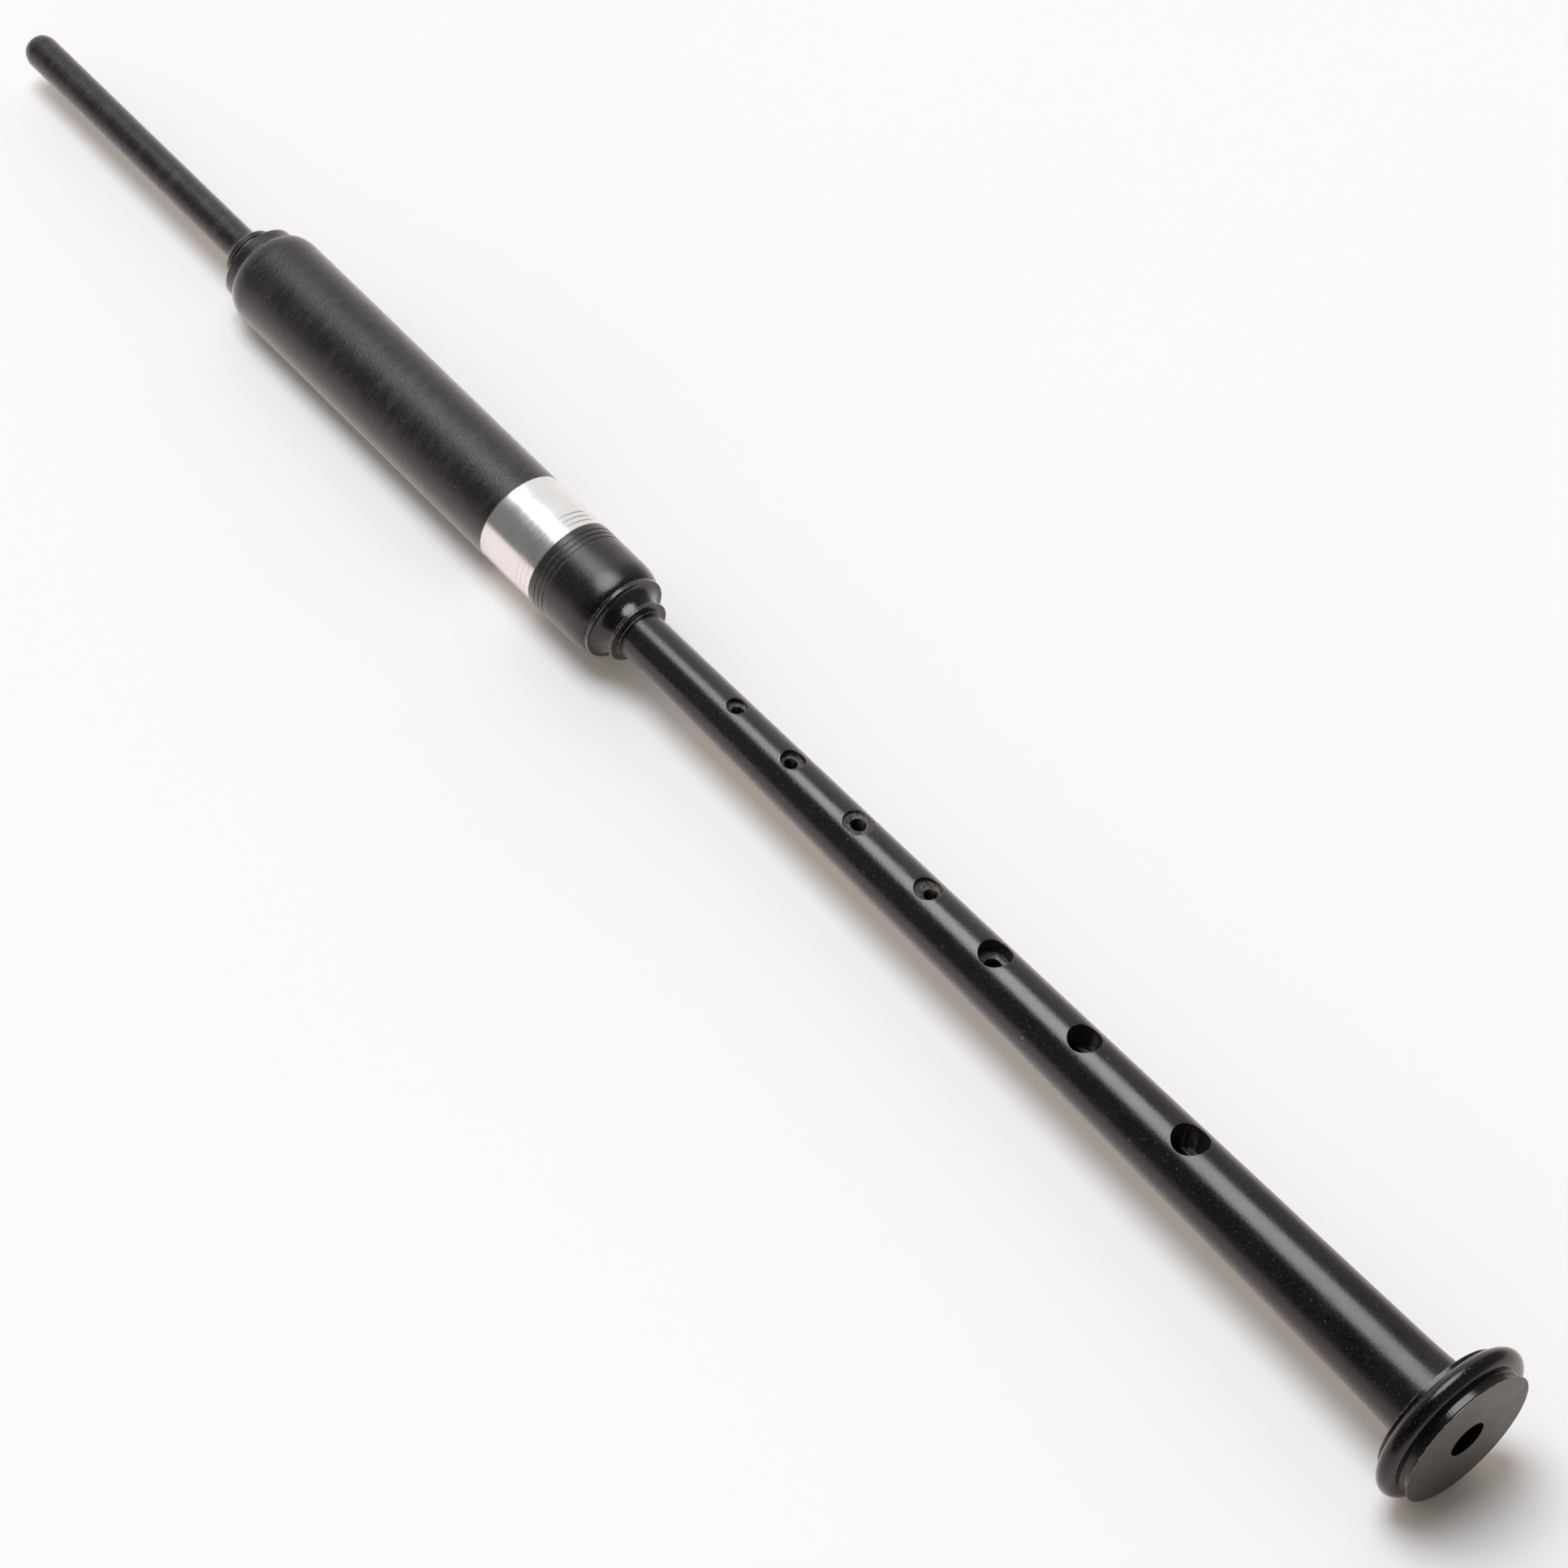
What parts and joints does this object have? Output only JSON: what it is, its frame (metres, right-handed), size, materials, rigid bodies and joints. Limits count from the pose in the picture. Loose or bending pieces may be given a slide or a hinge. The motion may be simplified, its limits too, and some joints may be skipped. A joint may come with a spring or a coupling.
{
  "type": "practice chanter",
  "caption": "Bagpipe practice chanter: a mouthpiece and top section that pull off a wound tenon, with a ferrule, a reed inside, a bulb, a conical stem with finger holes and a beaded sole.",
  "frame": {"origin": "under the middle of the chanter's length, on the surface that the sole's bead touches when the axis is level", "axes": "+X along the axis from the mouthpiece to the sole, +Z out of the finger holes, +Y completing the right-handed frame"},
  "size_m": [0.5292, 0.0424, 0.0424],
  "materials": {
    "satin_black": "satin, fine turning lines",
    "polished_black": "polished",
    "polished_metal": "polished, fine turned lines",
    "staple_brass": "drawn tube",
    "cane": "scraped cane",
    "waxed_thread": "waxed, wound",
    "bridle_rubber": "matte"
  },
  "bodies": {
    "chanter": {"chanter_body": "polished_black", "sole": "polished_black"},
    "tenon_winding": {"tenon_winding": "waxed_thread"},
    "top_section": {"top_section": "satin_black", "ferrule": "polished_metal"},
    "mouthpiece_winding": {"mouthpiece_winding": "waxed_thread"},
    "mouthpiece": {"mouthpiece": "satin_black"},
    "reed": {"reed_staple": "staple_brass", "reed_seat_thread": "waxed_thread", "reed_blade_upper": "cane", "reed_blade_lower": "cane", "reed_binding": "waxed_thread"},
    "reed_bridle": {"reed_bridle": "bridle_rubber"}
  },
  "joints": [
    {"name": "top_section_twist", "type": "hinge", "parent": "chanter", "child": "tenon_winding", "pos_m": [-0.058, 0, 0.0212], "axis": [1, 0, 0], "continuous": true},
    {"name": "top_section_pull", "type": "slide", "parent": "tenon_winding", "child": "top_section", "axis": [-1, 0, 0], "range_m": [0, 0.08]},
    {"name": "mouthpiece_pull", "type": "slide", "parent": "top_section", "child": "mouthpiece_winding", "axis": [-1, 0, 0], "range_m": [0, 0.02]},
    {"name": "mouthpiece_twist", "type": "hinge", "parent": "mouthpiece_winding", "child": "mouthpiece", "pos_m": [-0.158, 0, 0.0212], "axis": [1, 0, 0], "continuous": true},
    {"name": "reed_pull", "type": "slide", "parent": "chanter", "child": "reed", "axis": [-1, 0, 0], "range_m": [0, 0.0125]},
    {"name": "bridle_slide", "type": "slide", "parent": "reed", "child": "reed_bridle", "axis": [-1, 0, 0], "range_m": [-0.002, 0.002]}
  ]
}
